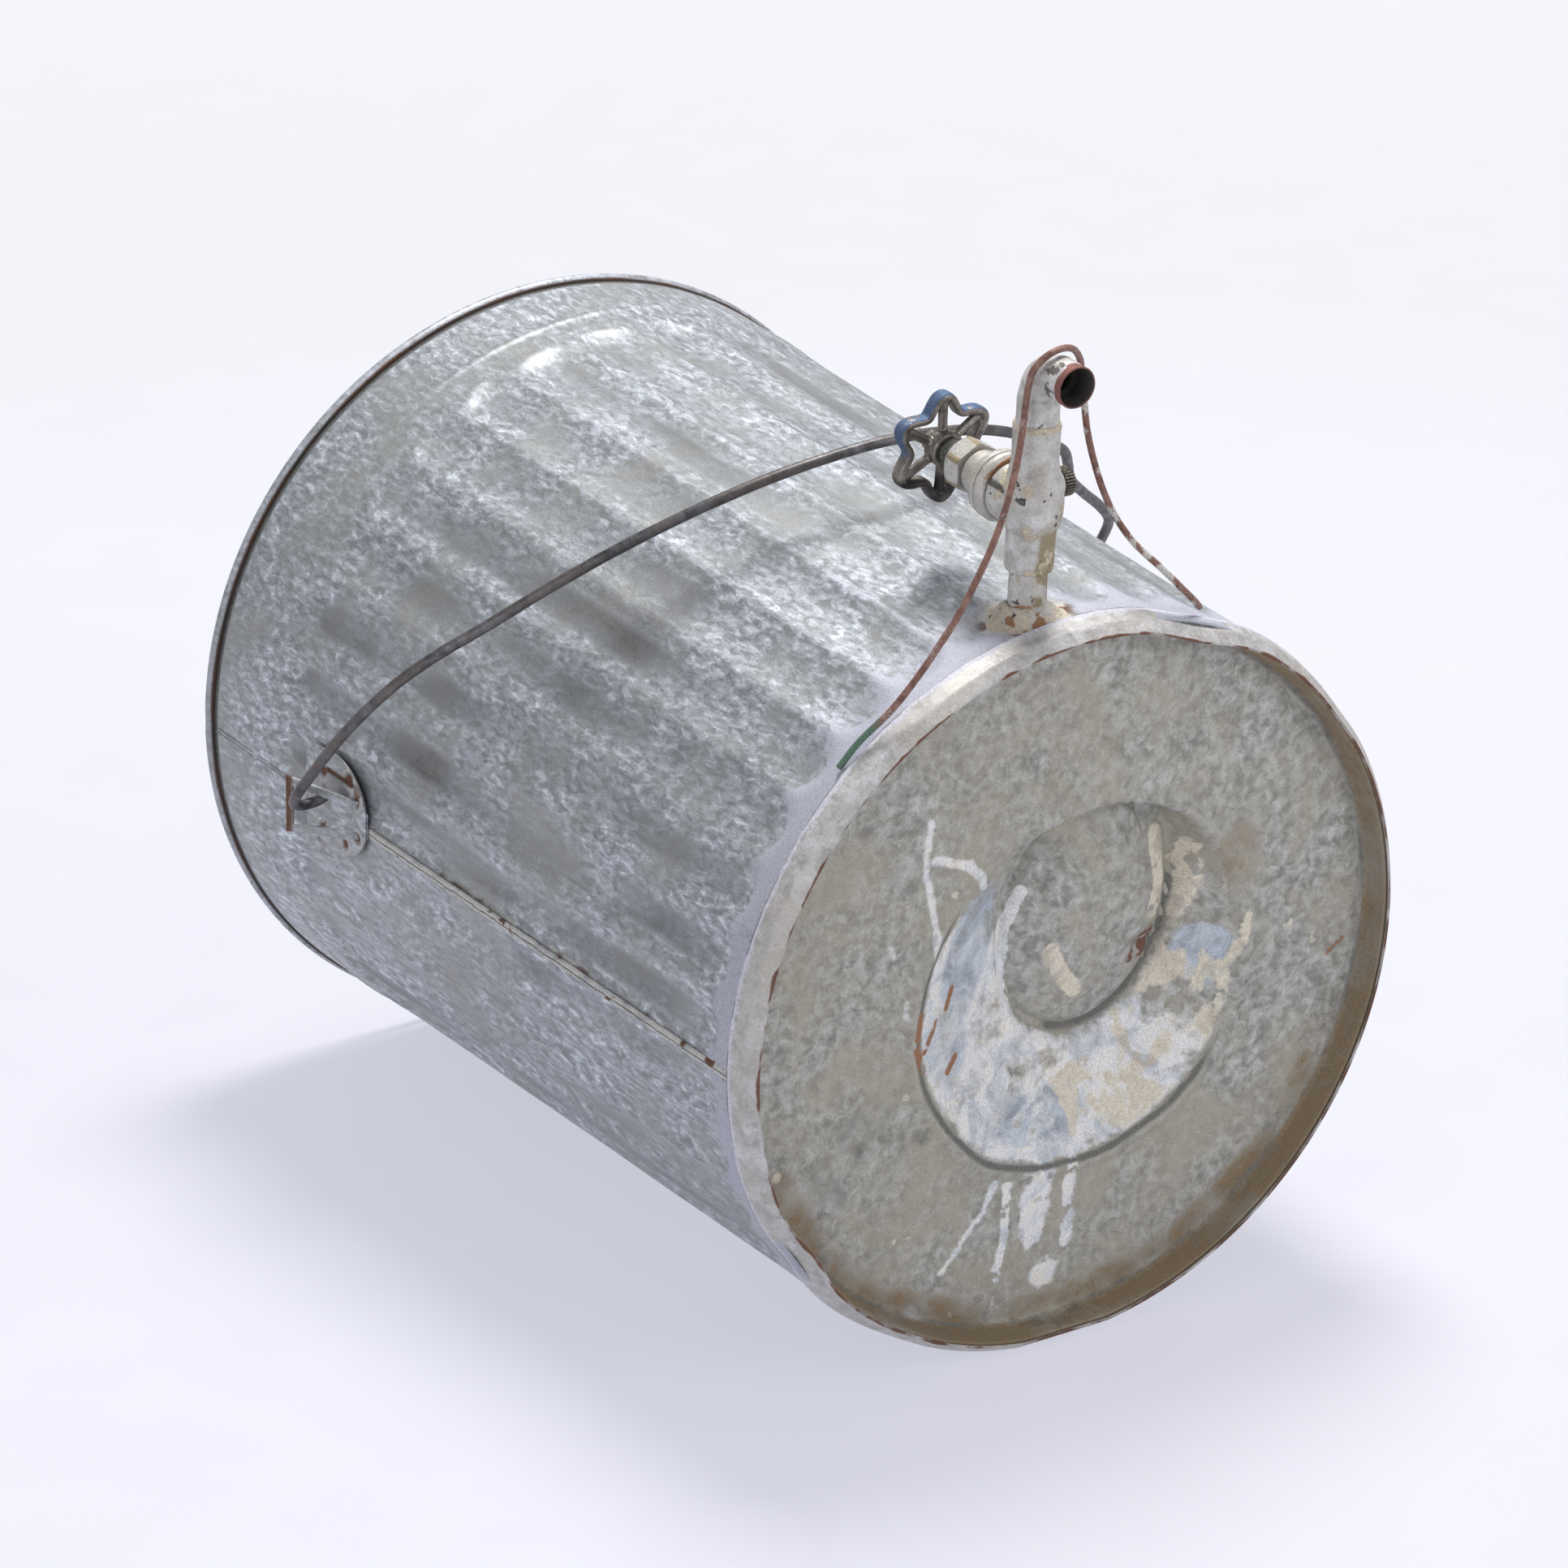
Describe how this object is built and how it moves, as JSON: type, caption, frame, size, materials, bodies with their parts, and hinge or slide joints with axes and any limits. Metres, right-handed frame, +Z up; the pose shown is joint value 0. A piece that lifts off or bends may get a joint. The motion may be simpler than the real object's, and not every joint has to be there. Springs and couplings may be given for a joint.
{
  "type": "poultry waterer fount",
  "caption": "Fluted galvanised can lying on its side, with a soldered stop-and-waste valve and outlet elbow on its wall and a wire bail.",
  "frame": {"origin": "centre of the bounding box's bottom face, on the floor the can lies on", "axes": "+Z up, +X along the can from its open mouth towards its closed base and the outlet, Y along the bail's pivot line"},
  "size_m": [0.448, 0.4006, 0.4508],
  "materials": {
    "galvanised": "weathered spangled zinc coat on sheet steel",
    "painted": "dirty aluminium paint, chipped",
    "pan": "weathered zinc with lime and rust stains",
    "bail": "dark weathered wire",
    "rust": "rusty wire with flaked aluminium paint",
    "wheel": "worn cast wheel with dirty paint",
    "brass": "plain brass",
    "bronze": "dark oxidised brass",
    "copper": "bare tarnished tube",
    "rubber": "black seal material"
  },
  "bodies": {
    "can": {"can_wall": "galvanised", "rolled_rim": "galvanised", "rim_wire": "bail", "base_hoop": "painted", "bottom_pan": "pan", "side_seam_lower": "galvanised", "side_seam_upper": "galvanised", "ear_near": "galvanised", "ear_far": "galvanised", "solder_joint": "painted", "brace_wire": "rust", "pipe_nipple": "painted", "valve_body": "painted", "bonnet": "painted", "stem_packing": "rubber", "packing_nut": "painted", "outlet_nipple": "copper", "outlet_elbow": "painted"},
    "bail": {"bail": "bail"},
    "stem_disc": {"disc_holder": "brass", "disc_washer": "rubber", "disc_screw": "brass"},
    "wheel_and_stem": {"valve_stem": "brass", "handwheel": "wheel", "wheel_nut": "wheel"},
    "drain_seal_lift": {"drain_seal": "rubber"},
    "drain_cap_turn": {"drain_cap": "bronze"}
  },
  "joints": [
    {"name": "bail_swing", "type": "hinge", "parent": "can", "child": "bail", "pos_m": [-0.108, 0, 0.17792], "axis": [0, -1, 0], "range_deg": [-5, 174]},
    {"name": "stem_lift", "type": "slide", "parent": "can", "child": "stem_disc", "axis": [-0.997, 0, 0.077], "range_m": [0, 0.0066]},
    {"name": "handwheel_turn", "type": "hinge", "parent": "stem_disc", "child": "wheel_and_stem", "pos_m": [0.12817, -0.01747, 0.38345], "axis": [-0.997, 0, 0.077], "range_deg": [0, 1080]},
    {"name": "drain_lift", "type": "slide", "parent": "can", "child": "drain_seal_lift", "axis": [0.0011, 0.9999, 0.0139], "range_m": [0, 0.002]},
    {"name": "drain_cap_turn", "type": "hinge", "parent": "drain_seal_lift", "child": "drain_cap_turn", "pos_m": [0.19425, -0.00257, 0.38577], "axis": [0.0011, 0.9999, 0.0139], "range_deg": [0, 720]}
  ],
  "couplings": [
    {"joint": "stem_lift", "follows": "handwheel_turn", "m_per_rad": 0.00035},
    {"joint": "drain_lift", "follows": "drain_cap_turn", "m_per_rad": 0.000159}
  ]
}
